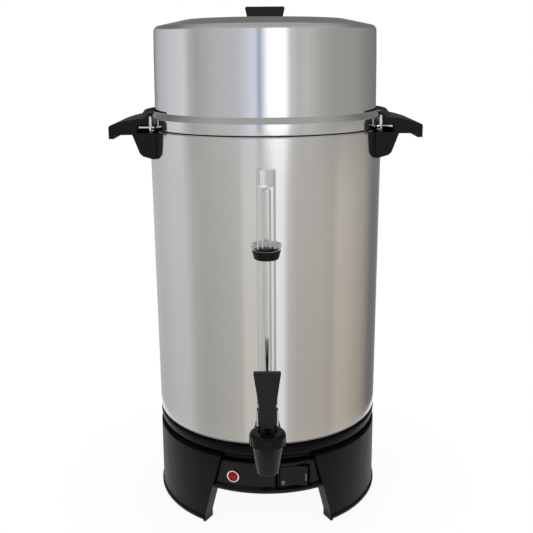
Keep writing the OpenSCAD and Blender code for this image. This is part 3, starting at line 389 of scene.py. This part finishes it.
def makeVessel(v):
    w, r, top, shoulder, corner = v["wall"], v["r"], v["seam"], v["shoulder"], v["corner"]
    floor = v["well"] + v["wellDeep"]
    wellEdge = v["wellR"] + v["wellFlare"]
    outside = [(0, v["well"]), (v["wellR"], v["well"]), (wellEdge, floor)]
    outside += rounding(r - corner, floor + corner, corner, -90, 0)
    outside += [(r, floor + (top - floor) * i / v["rings"]) for i in range(1, v["rings"])]
    outside += rounding(r - shoulder, top - shoulder, shoulder, 0, 90, 6)
    outside += beside(v["mouth"], top, [(v["lipOut"], 0), (0, -v["lipDown"]), (0, -v["rimDrop"])])
    inside = [(v["mouth"] + w, top - v["rimDrop"]), (v["mouth"] + w, top - w)]
    inside += rounding(r - shoulder, top - shoulder, shoulder - w, 90, 0)
    inside += rounding(r - corner, floor + corner, corner - w, 0, -90)
    inside += [(wellEdge - w, floor + w), (v["wellR"] - w, v["well"] + w), (0, v["well"] + w)]
    piece = turn(outside + inside, steps=fine)
    finishPiece(piece, "vesselBody", "urn", brushed, ["vessel_shell"])
    piece.data.materials.append(lining)
    piece.data.materials.append(shaded)
    for face in piece.data.polygons:
        centre = face.center / mm
        reach = math.hypot(centre.x, centre.y)
        # The bottom corner is painted darker, painted shade above the base collar
        if reach > r - corner and centre.z < floor + corner:
            face.material_index = 2
        elif reach < r - v["liningIn"] and floor + v["liningUp"] < centre.z < top - v["liningDown"]:
            face.material_index = 1


# The offsets are points beside a corner, as (further out, further up)
cover = {"seam": seam, "top": high("cover_shell"), "wall": 1, "r": 127, "rim": 1, "gap": 0.8, "gapDepth": 5,
         "gapSlope": 0.1, "band": 12, "flare": 5.2, "inset": 6.2, "draft": 1.7, "corner": 6,
         "crownDrop": 6.2, "crownWidth": 35, "flatRing": 40, "plugR": 115.5, "plug": 9,
         "bandEdge": [(0, -0.4), (-0.25, 0.15)],
         "flareEdge": [(0.5, -0.35), (0.1, 0.2), (0, 0.8), (-0.5, 30), (-1.0, 60)],
         "crownEdge": [(3, -0.5), (1, -0.12), (-1.5, 0)], "rimInside": 0.5, "seamShadeIn": 0.5, "seamShadeUp": 0.3}


def makeCover(c):
    w, r, foot, lift = c["wall"], c["r"], c["r"] - c["inset"], c["seam"] + c["gap"]
    head = foot - c["draft"]
    corner = (head - c["corner"], c["top"] - c["crownDrop"] - c["corner"])
    flat = head - c["crownWidth"]
    slope = math.degrees(math.atan(c["crownDrop"] / c["crownWidth"]))
    bandTop, flareTop = c["seam"] + c["band"], c["seam"] + c["band"] + c["flare"]
    plugFoot, gapR = c["seam"] - c["plug"], r - c["gapDepth"]
    outside = [(c["plugR"], plugFoot), (c["plugR"], c["seam"])]
    outside += [(gapR, c["seam"]), (gapR + c["gapSlope"], lift)]
    outside += rounding(r - c["rim"], lift + c["rim"], c["rim"], -90, 0, 6)
    outside += beside(r, bandTop, c["bandEdge"]) + beside(foot, flareTop, c["flareEdge"])
    outside += rounding(*corner, c["corner"], 0, 90 - slope, 12)
    outside += beside(flat, c["top"], c["crownEdge"]) + [(c["flatRing"], c["top"]), (0, c["top"])]
    inside = [(0, c["top"] - w), (flat, c["top"] - w)]
    inside += rounding(*corner, c["corner"] - w, 90 - slope, 0)
    inside += [(foot - w, flareTop - w / 2), (r - w, bandTop - w / 2)]
    inside += [(r - w, lift + c["rim"] + c["rimInside"]), (gapR, lift + w), (c["plugR"] - w, lift + w)]
    inside += [(c["plugR"] - w, plugFoot)]
    piece = turn(outside + inside, steps=fine)
    finishPiece(piece, "coverBody", "cover", polished, ["cover_shell"])
    # Faces in the gap under the rim are painted dark, painted shade where the cover meets the vessel
    piece.data.materials.append(seamShade)
    for face in piece.data.polygons:
        centre = face.center / mm
        reach = math.hypot(centre.x, centre.y)
        if gapR - c["seamShadeIn"] < reach < r - c["rim"] and centre.z < lift + c["seamShadeUp"]:
            face.material_index = 1


makeVessel(vessel)
makeCover(cover)
print("vessel and cover turned")


# Pieces of the gauge, turned about its own upright axis
gauge = {"guardR": 9.3, "guardWall": 1.3, "edge": 0.5, "innerEdge": 0.4,
         "glassR": 5, "glassWall": 1.5, "glassUp": 0.2,
         "plugGap": 1.2, "plugFit": 0.15, "plugEdge": 0.6, "capUp": 1.2, "capIn": 0.3, "capSeat": 0.1}


def makeGauge(g):
    axis = middle("gauge_glass")[:2]
    foot, top = low("gauge_shield"), high("gauge_shield")
    outer, inner = g["guardR"], g["guardR"] - g["guardWall"]
    edge, lip = g["edge"], g["innerEdge"]
    guard = turn([(inner, foot), (outer, foot), (outer, top - edge), (outer - edge, top), (inner + lip, top),
                  (inner, top - lip)], axis)
    finishPiece(guard, "gaugeGuard", "urn", clearPlastic, ["gauge_shield"])
    glassFoot, glassTop, r = low("gauge_glass"), high("gauge_glass") + g["glassUp"], g["glassR"]
    bore = r - g["glassWall"]
    dome = rounding(0, glassTop - r, r, 0, 90, 10) + rounding(0, glassTop - r, bore, 90, 0, 10)
    glass = turn([(bore, glassFoot), (r, glassFoot)] + dome, axis)
    finishPiece(glass, "gaugeGlass", "urn", clearGlass, ["gauge_glass"])
    plugFoot, seat, cap = glassTop + g["plugGap"], top + g["capSeat"], top + g["capUp"]
    plugR, capR = inner - g["plugFit"], outer - g["capIn"]
    plug = turn([(0, plugFoot), (plugR - g["plugEdge"], plugFoot), (plugR, plugFoot + g["plugEdge"]),
                 (plugR, seat), (capR, seat), (capR, cap - edge), (capR - edge, cap), (0, cap)], axis)
    finishPiece(plug, "gaugePlug", "urn", greyPlastic, ["gauge_cap"])
    for piece in (guard, glass, plug):
        piece.visible_glossy = False


# Ring with an opening facing the front, cut out by a wedge
def openRing(outline, axis, angle, reach=0.06):
    ring = turn(outline, axis, 96)
    heights = [z * mm for _, z in outline]
    centre = (axis[0], axis[1] - reach / 2, (min(heights) + max(heights)) / 2)
    clearSelection()
    bpy.ops.mesh.primitive_cube_add(size=reach, location=centre)
    wedge = bpy.context.object
    settle(wedge)
    half = math.tan(math.radians(angle / 2))
    for corner in wedge.data.vertices:
        if corner.co.y > axis[1] - reach / 2:
            corner.co.x = axis[0]
        else:
            corner.co.x = axis[0] + math.copysign(half * reach, corner.co.x - axis[0])
    pick(wedge)
    bpy.ops.object.mode_set(mode="EDIT")
    weld(welds["outline"])
    bpy.ops.mesh.normals_make_consistent(inside=False)
    bpy.ops.object.mode_set(mode="OBJECT")
    cut = ring.modifiers.new("cut", "BOOLEAN")
    cut.operation = "DIFFERENCE"
    cut.object = wedge
    cut.solver = "EXACT"
    bakeModifiers(ring)
    bpy.data.objects.remove(wedge)
    smooth(ring)
    return ring


# Clip that holds the guard, its flared bright rim, and the rim of the socket at the gauge's foot
clip = {"down": 1.8, "lowR": 12.25, "highR": 14.2, "tall": 8.8, "bore": 9.45,
        "boreEdge": 0.4, "edge": 0.6, "topEdge": 0.7,
        "armWidth": 9, "armGap": 0.3, "armEdge": 0.8, "vesselR": 127.15}
flare = {"r": 15.4, "up": 5.6, "wall": 0.9, "open": 110, "footIn": 1.5, "footOut": 0.8,
         "edge": 0.3, "lip": 0.1}
sleeve = {"r": 11.4, "wall": 0.8, "foot": 134.5, "top": 153.4, "open": 120, "edge": 0.3}


def makeClip(c):
    axis, foot = middle("gauge_glass")[:2], low("gauge_bracket") - c["down"]
    top, bore, ease, edge = foot + c["tall"], c["bore"], c["boreEdge"], c["edge"]
    ring = turn([(bore, foot + ease), (bore + ease, foot), (c["lowR"] - edge, foot), (c["lowR"], foot + edge),
                 (c["highR"], top - c["topEdge"]), (c["highR"] - edge, top), (bore + ease, top),
                 (bore, top - ease)], axis)
    reach = -c["vesselR"] - axis[1] / mm - bore
    place = (0, axis[1] + (bore + c["armGap"] + reach / 2) * mm, (foot + top) / 2 * mm)
    clearSelection()
    bpy.ops.mesh.primitive_cube_add(size=mm, location=place)
    arm = bpy.context.object
    arm.scale = (c["armWidth"], reach - 2 * c["armGap"], c["tall"])
    settle(arm)
    roundEdges(arm, c["armEdge"], 3)
    smooth(arm)
    arm.select_set(True)
    ring.select_set(True)
    bpy.context.view_layer.objects.active = ring
    bpy.ops.object.join()
    finishPiece(ring, "gaugeClip", "urn", glossBlack, ["gauge_bracket"])
    return top


def makeFlare(f, foot):
    rim, inner, r = foot + f["up"], clip["bore"] + f["footIn"], f["r"]
    outline = [(inner, foot), (clip["highR"] - f["footOut"], foot), (r, rim - f["edge"]),
               (r - f["edge"], rim), (r - f["wall"], rim - f["lip"]), (inner, foot + f["wall"])]
    piece = openRing(outline, middle("gauge_glass")[:2], f["open"])
    piece.visible_glossy = False
    finishPiece(piece, "gaugeClipRim", "urn", brightSteel)


def makeSleeve(s):
    r, inner, edge, foot, top = s["r"], s["r"] - s["wall"], s["edge"], s["foot"], s["top"]
    outline = [(inner, foot), (r - edge, foot), (r, foot + edge), (r, top - edge), (r - edge, top),
               (inner, top)]
    piece = openRing(outline, middle("gauge_glass")[:2], s["open"])
    finishPiece(piece, "gaugeSocketRim", "urn", brightSteel)


makeGauge(gauge)
clipTop = makeClip(clip)
makeFlare(flare, clipTop)
makeSleeve(sleeve)
print("gauge turned")


# Pilot light on the control panel, made lying flat and then turned to face outwards
panelR = 123
pilot = {"turn": -17.7, "ringR": 7.1, "ringUp": 2.1, "ringIn": 5.5, "ringNeck": 0.9, "ringSeat": 0.1,
         "lensR": 5.3, "lensUp": 1.9, "lensIn": 4.8, "lensFit": 0.1, "domeR": 10}


def faceOut(piece, angle, out, height):
    place = Matrix.Rotation(math.radians(angle), 4, "Z") @ Matrix.Translation((0, -out * mm, height))
    piece.matrix_world = place @ Matrix.Rotation(math.radians(90), 4, "X")
    settle(piece)


def makePilot(p):
    height = middle("pilot_bezel")[2]
    r, up, bore = p["ringR"], p["ringUp"], p["lensR"] + p["lensFit"]
    mid, half, neck = (r + bore) / 2, (r - bore) / 2, bore + p["ringNeck"]
    back = [(bore, -p["ringIn"]), (neck, -p["ringIn"]), (neck, p["ringSeat"]), (r, p["ringSeat"])]
    face = [(r, up - half)] + rounding(mid, up - half, half, 20, 160) + [(bore, up - half)]
    ring = turn(back + face)
    faceOut(ring, p["turn"], panelR, height)
    finishPiece(ring, "pilotRing", "urn", satinSteel, ["pilot_bezel"])
    edge = math.degrees(math.asin(p["lensR"] / p["domeR"]))
    crown = rounding(0, p["lensUp"] - p["domeR"], p["domeR"], 90 - edge, 90)
    lens = turn([(0, -p["lensIn"]), (p["lensR"], -p["lensIn"])] + crown)
    faceOut(lens, p["turn"], panelR, height)
    finishPiece(lens, "pilotDome", "urn", redLens, ["pilot_lens"])


# Off and on marks, printed on the rocker's two sloping faces
marks = {"pivot": 9, "tilt": 8, "turn": 13.8, "half": 15, "rise": 2.8, "dip": 2, "thick": 0.12, "proud": 0.10,
         "off": {"x": -11.8, "z": -6.6, "r": 1.7, "line": 0.6, "tall": 1.25},
         "on": {"x": 13.0, "z": -1.6, "wide": 0.8, "tall": 8.4, "edge": 0.1}}


def placeMark(piece, m, x, z):
    side = 1 if x < 0 else -1
    depth = (m["half"] - abs(x)) * m["rise"] / m["half"] - m["dip"]
    lean = math.degrees(math.atan(m["rise"] / m["half"]))
    place = Matrix.Rotation(math.radians(m["turn"]), 4, "Z")
    place = place @ Matrix.Translation((0, (m["pivot"] - panelR) * mm, middle("switch_rocker")[2]))
    place = place @ Matrix.Rotation(math.radians(-m["tilt"]), 4, "Z")
    place = place @ Matrix.Translation((x * mm, (depth - m["pivot"] - m["proud"]) * mm, z * mm))
    place = place @ Matrix.Rotation(math.radians(side * lean), 4, "Z")
    piece.matrix_world = place @ Matrix.Rotation(math.radians(90), 4, "X")
    settle(piece)


def makeMarks(m):
    o, t = m["off"], m["thick"]
    bore = o["r"] - o["line"]
    ring = turn([(bore, -t), (o["r"], -t), (o["r"], t), (bore, t)], steps=40)
    ring.scale = (1, o["tall"], 1)
    settle(ring)
    placeMark(ring, m, o["x"], o["z"])
    finishPiece(ring, "markOff", "rocker", paleInk)
    i = m["on"]
    clearSelection()
    bpy.ops.mesh.primitive_cube_add(size=mm)
    bar = bpy.context.object
    bar.scale = (i["wide"], i["tall"], 2 * t)
    settle(bar)
    roundEdges(bar, i["edge"], 2)
    placeMark(bar, m, i["x"], i["z"])
    finishPiece(bar, "markOn", "rocker", paleInk)


# Folded ends of the handle brackets, seen in the slots at the front
tips = {"inner": 118.7, "wide": 2.4, "low": 431.6, "high": 443.2, "front": 54.5, "thick": 0.5, "edge": 0.2}


def makeTip(t, side):
    clearSelection()
    bpy.ops.mesh.primitive_cube_add(size=mm)
    tip = bpy.context.object
    tip.scale = (t["wide"], t["thick"], t["high"] - t["low"])
    tip.location = (side * (t["inner"] + t["wide"] / 2) * mm, -(t["front"] + t["thick"] / 2) * mm,
                    (t["low"] + t["high"]) / 2 * mm)
    settle(tip)
    roundEdges(tip, t["edge"], 2)
    smooth(tip)
    finishPiece(tip, "bracketTip" + ("Left" if side < 0 else "Right"), "urn", satinSteel)


makePilot(pilot)
makeMarks(marks)
for side in (-1, 1):
    makeTip(tips, side)
print("panel dressed")


# Mouldings and pressings with their edges eased: piece, node, body, finish, slot, rounding in millimetres
eased = [
    ("coverKnob", "cover_knob", "cover", satinBlack, "black_satin", 1.2),
    ("handleLeft", "handle_left", "urn", handleBlack, "black_satin", 0.4),
    ("handleRight", "handle_right", "urn", handleBlack, "black_satin", 0.4),
    ("bracketLeft", "handle_bracket_left", "urn", brightSteel, "bright_steel", 0.3),
    ("bracketRight", "handle_bracket_right", "urn", brightSteel, "bright_steel", 0.3),
    ("baseSkirt", "base_housing", "urn", baseBlack, "black_satin", 0.6),
    ("controlPanel", "control_panel", "urn", glossBlack, "black_gloss", 0.5),
    ("switchRocker", "switch_rocker", "rocker", glossBlack, "black_gloss", 0.5),
    ("faucetBody", "faucet_body", "urn", glossBlack, "black_gloss", 0.5),
    ("faucetBonnet", "faucet_bonnet", "urn", glossBlack, "black_gloss", 0.5),
    ("faucetLever", "faucet_lever", "lever", satinBlack, "black_satin", 0.8),
    ("plugInlet", "power_inlet", "urn", glossBlack, "black_gloss", 0.4)]

for name, node, body, material, slot, edge in eased:
    finishPiece(easedCopy(node, edge), name, body, material, [node])
print("mouldings eased")


# The return spring, which closes up as the lever lifts the valve, fitted at rest with a mesh of its own
spring = {"lift": 2.6, "edge": 0.08, "angle": 30}


def makeSpring(s):
    piece = easedCopy("valve_spring", s["edge"], s["angle"], segments=1)
    finishPiece(piece, "returnSpring", "urn", plainSteel, ["valve_spring"])
    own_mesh(piece)


makeSpring(spring)
print("spring fitted")


# Studio nodes that the floor and the room share

def mixShaders(tree, share, first, second):
    mix = tree.nodes.new("ShaderNodeMixShader")
    tree.links.new(share, mix.inputs["Fac"])
    link(tree, first, 0, mix, 1)
    link(tree, second, 0, mix, 2)
    return mix


def anyRay(tree, kinds):
    path = tree.nodes.new("ShaderNodeLightPath")
    total = path.outputs[kinds[0]]
    for kind in kinds[1:]:
        add = tree.nodes.new("ShaderNodeMath")
        add.use_clamp = True
        tree.links.new(total, add.inputs[0])
        tree.links.new(path.outputs[kind], add.inputs[1])
        total = add.outputs[0]
    return total


# Floor: white to the eye and in mirrors, with a faint shadow that fades outwards
studio = {"floorR": 0.30, "matt": 0.92, "shadow": 0.07, "shadowFrom": 0.14, "shadowTo": 0.29}


def makeFloor(s):
    clearSelection()
    bpy.ops.mesh.primitive_circle_add(vertices=96, radius=s["floorR"], fill_type="NGON", location=(0, 0, 0))
    floor = bpy.context.object
    floor.name = "floor"
    material = bpy.data.materials.new("paleFloor")
    material.use_nodes = True
    tree = material.node_tree
    tree.nodes.clear()
    out = tree.nodes.new("ShaderNodeOutputMaterial")
    white = tree.nodes.new("ShaderNodeEmission")
    white.inputs["Color"].default_value = (1, 1, 1, 1)
    matt = tree.nodes.new("ShaderNodeBsdfDiffuse")
    matt.inputs["Color"].default_value = (s["matt"], s["matt"], s["matt"], 1)
    coords = tree.nodes.new("ShaderNodeTexCoord")
    reach = tree.nodes.new("ShaderNodeVectorMath")
    reach.operation = "LENGTH"
    link(tree, coords, "Object", reach, "Vector")
    fade = tree.nodes.new("ShaderNodeMapRange")
    fade.interpolation_type = "SMOOTHSTEP"
    fade.inputs["From Min"].default_value = s["shadowFrom"]
    fade.inputs["From Max"].default_value = s["shadowTo"]
    fade.inputs["To Min"].default_value = s["shadow"]
    fade.inputs["To Max"].default_value = 0
    link(tree, reach, "Value", fade, "Value")
    shown = mixShaders(tree, fade.outputs["Result"], white, matt)
    seen = anyRay(tree, ["Is Camera Ray", "Is Glossy Ray", "Is Transmission Ray"])
    both = mixShaders(tree, seen, matt, shown)
    link(tree, both, 0, out, "Surface")
    floor.data.materials.append(material)


# The room that the metal mirrors. Its walls are bands, as (degrees to the right of the front, tone):
# the level ones show in the cover, and the low ones in the vessel. Heights and depths are those of
# a direction one unit long: 0 is level or beside the urn, and 1 is straight up or straight behind
room = {
    "level": [(-180, (0.18, 0.18, 0.18)), (-160, (0.24, 0.24, 0.24)), (-140, (0.48, 0.48, 0.50)),
              (-112, (0.62, 0.63, 0.65)), (-90, (0.70, 0.70, 0.71)), (-81, (0.48, 0.48, 0.48)),
              (-72, (0.41, 0.41, 0.40)), (-50, (0.53, 0.52, 0.51)), (-26, (0.56, 0.57, 0.60)),
              (-13, (0.72, 0.74, 0.84)), (-9, (0.70, 0.73, 0.84)), (-6.5, (0.36, 0.40, 0.50)),
              (-4, (0.52, 0.56, 0.64)), (-1, (0.86, 0.89, 0.96)), (3, (1.26, 1.27, 1.27)),
              (19.5, (1.26, 1.26, 1.26)), (24.5, (0.64, 0.64, 0.66)), (33, (0.52, 0.52, 0.51)),
              (42, (0.55, 0.55, 0.53)), (58, (0.42, 0.42, 0.40)), (72, (0.36, 0.36, 0.34)),
              (105, (0.34, 0.33, 0.31)), (125, (0.25, 0.25, 0.25)), (150, (0.20, 0.20, 0.20)),
              (180, (0.18, 0.18, 0.18))],
    "low": [(-180, (0.50, 0.50, 0.51)), (-130, (0.51, 0.52, 0.53)), (-105, (0.60, 0.60, 0.60)),
            (-88, (0.60, 0.60, 0.60)), (-76, (0.46, 0.46, 0.45)), (-62, (0.43, 0.43, 0.41)),
            (-36, (0.49, 0.48, 0.45)), (-26, (0.52, 0.51, 0.48)), (-21, (0.66, 0.64, 0.60)),
            (-10, (0.66, 0.65, 0.61)), (-4, (0.62, 0.61, 0.58)), (3, (0.64, 0.63, 0.60)),
            (8, (0.92, 0.92, 0.94)), (16, (0.90, 0.91, 0.94)), (21, (0.56, 0.56, 0.54)),
            (30, (0.50, 0.47, 0.44)), (58, (0.48, 0.45, 0.41)), (68, (0.45, 0.42, 0.37)),
            (76, (0.54, 0.50, 0.44)), (90, (0.51, 0.47, 0.41)), (100, (0.45, 0.42, 0.36)),
            (110, (0.40, 0.38, 0.34)), (119, (0.31, 0.30, 0.27)), (132, (0.18, 0.18, 0.17)),
            (150, (0.18, 0.18, 0.17)), (180, (0.50, 0.50, 0.51))],
    "lowFade": {"heights": (-0.40, -0.18), "lower": (0.97, 0.955, 0.945), "upper": (1.07, 1.075, 1.095)},
    "lowToLevel": (-0.16, -0.05),
    "ceiling": {"heights": (0.16, 0.26), "depths": (-0.4, 0.4), "front": (0.44, 0.44, 0.44),
                "rear": (0.175, 0.175, 0.175)},
    "overhead": {"heights": (0.55, 0.9), "tone": (0.40, 0.40, 0.39)},
    "soft": {"tone": (0.80, 0.80, 0.82), "strength": 0.6}}


# From 0 to 1 as one part of the direction goes from the first limit to the second
def along(tree, direction, axis, limits):
    share = tree.nodes.new("ShaderNodeMapRange")
    share.inputs["From Min"].default_value = limits[0]
    share.inputs["From Max"].default_value = limits[1]
    link(tree, direction, axis, share, "Value")
    return share


# Two tones mixed, each a colour or another node's output. With no share, all of the second counts
def mixTones(tree, share, first, second, kind="MIX"):
    mix = tree.nodes.new("ShaderNodeMix")
    mix.data_type = "RGBA"
    mix.blend_type = kind
    if share is None:
        mix.inputs["Factor"].default_value = 1
    else:
        link(tree, share, 0, mix, "Factor")
    for socket, tone in (("A", first), ("B", second)):
        if isinstance(tone, tuple):
            mix.inputs[socket].default_value = (*tone, 1)
        else:
            tree.links.new(tone, mix.inputs[socket])
    return mix.outputs["Result"]


# Bearing of the direction about the upright axis, from 0 at -180 degrees to 1 at 180
def bearingShare(tree, direction):
    toFront = tree.nodes.new("ShaderNodeMath")
    toFront.operation = "MULTIPLY"
    toFront.inputs[1].default_value = -1
    link(tree, direction, "Y", toFront, 0)
    bearing = tree.nodes.new("ShaderNodeMath")
    bearing.operation = "ARCTAN2"
    link(tree, direction, "X", bearing, 0)
    link(tree, toFront, 0, bearing, 1)
    return along(tree, bearing, 0, (-math.pi, math.pi))


def background(tree, tone=(1, 1, 1), strength=1):
    light = tree.nodes.new("ShaderNodeBackground")
    light.inputs["Color"].default_value = (*tone, 1)
    light.inputs["Strength"].default_value = strength
    return light


def makeRoom(r):
    world = bpy.data.worlds.new("room")
    bpy.context.scene.world = world
    world.use_nodes = True
    tree = world.node_tree
    tree.nodes.clear()
    out = tree.nodes.new("ShaderNodeOutputWorld")
    coords = tree.nodes.new("ShaderNodeTexCoord")
    direction = tree.nodes.new("ShaderNodeSeparateXYZ")
    link(tree, coords, "Generated", direction, "Vector")
    share = bearingShare(tree, direction)
    walls = {}
    for height in ("level", "low"):
        stops = [((angle + 180) / 360, tone) for angle, tone in r[height]]
        walls[height] = ramp(tree, share, stops, "Result").outputs["Color"]
    fade, ceiling, overhead = r["lowFade"], r["ceiling"], r["overhead"]
    tint = mixTones(tree, along(tree, direction, "Z", fade["heights"]), fade["lower"], fade["upper"])
    lowWalls = mixTones(tree, None, walls["low"], tint, "MULTIPLY")
    sides = mixTones(tree, along(tree, direction, "Z", r["lowToLevel"]), lowWalls, walls["level"])
    upper = mixTones(tree, along(tree, direction, "Y", ceiling["depths"]), ceiling["front"], ceiling["rear"])
    top = mixTones(tree, along(tree, direction, "Z", ceiling["heights"]), sides, upper)
    whole = mixTones(tree, along(tree, direction, "Z", overhead["heights"]), top, overhead["tone"])
    mirrored = background(tree)
    tree.links.new(whole, mirrored.inputs["Color"])
    soft = background(tree, r["soft"]["tone"], r["soft"]["strength"])
    lit = mixShaders(tree, anyRay(tree, ["Is Glossy Ray"]), soft, mirrored)
    seen = mixShaders(tree, anyRay(tree, ["Is Camera Ray", "Is Transmission Ray"]), lit, background(tree))
    link(tree, seen, 0, out, "Surface")


softboxes = {
    "left": {"place": (-0.9, -0.9, 1.3), "size": 0.7, "power": 9, "tint": (1, 1, 1)},
    "right": {"place": (1.0, -0.7, 1.2), "size": 0.6, "power": 6, "tint": (1, 0.98, 0.95)},
    "back": {"place": (0.2, 1.2, 1.5), "size": 0.9, "power": 9, "tint": (1, 1, 1)}}
aimPoint = Vector((0, 0, 0.3))


def makeSoftboxes(boxes):
    for name, b in boxes.items():
        data = bpy.data.lights.new(name, "AREA")
        data.size = b["size"]
        data.energy = b["power"]
        data.color = b["tint"]
        box = bpy.data.objects.new(name + "Softbox", data)
        bpy.context.scene.collection.objects.link(box)
        box.visible_glossy = False
        aim = aimPoint - Vector(b["place"])
        box.location = b["place"]
        box.rotation_euler = aim.to_track_quat("-Z", "Y").to_euler()


makeFloor(studio)
makeRoom(room)
makeSoftboxes(softboxes)
bpy.context.scene.view_settings.view_transform = "Standard"
print("studio lit")
